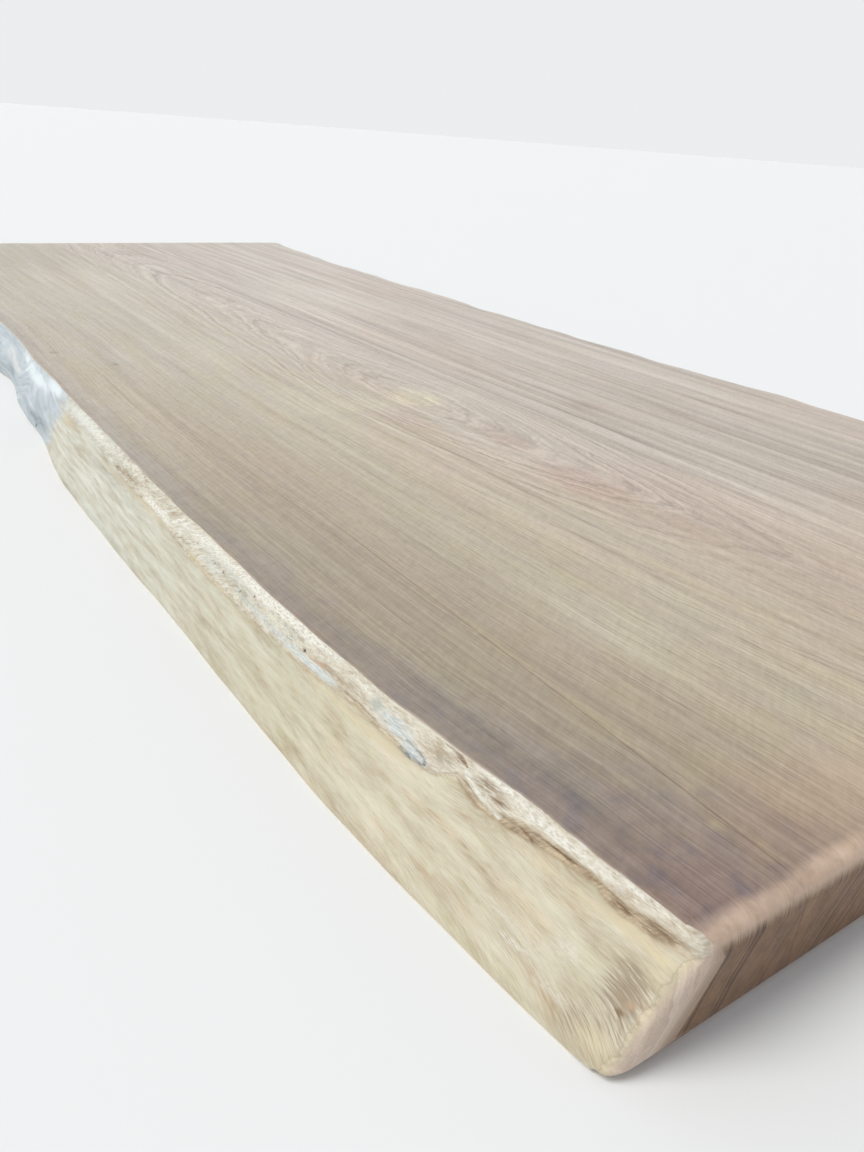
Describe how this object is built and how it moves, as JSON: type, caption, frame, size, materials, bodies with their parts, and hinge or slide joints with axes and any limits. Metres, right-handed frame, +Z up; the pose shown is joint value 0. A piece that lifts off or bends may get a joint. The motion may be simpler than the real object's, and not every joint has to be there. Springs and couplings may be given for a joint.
{
  "type": "iroko plank",
  "caption": "Thick live-edge hardwood slab: flat sanded faces, sloping natural edges with a strip, crevice and burl, one end rounded over.",
  "frame": {"origin": "middle of the underside, at the centre of the box's base", "axes": "+X along the plank towards the rounded near end, +Y across it away from the edge with the strip and the burl, +Z up out of the show face"},
  "size_m": [2.6, 1.1282, 0.065],
  "materials": {
    "iroko_wood": "sanded flat faces with a thin satin coat, brushed natural edges"
  },
  "bodies": {
    "root": {"iroko_plank": "iroko_wood"}
  },
  "joints": []
}
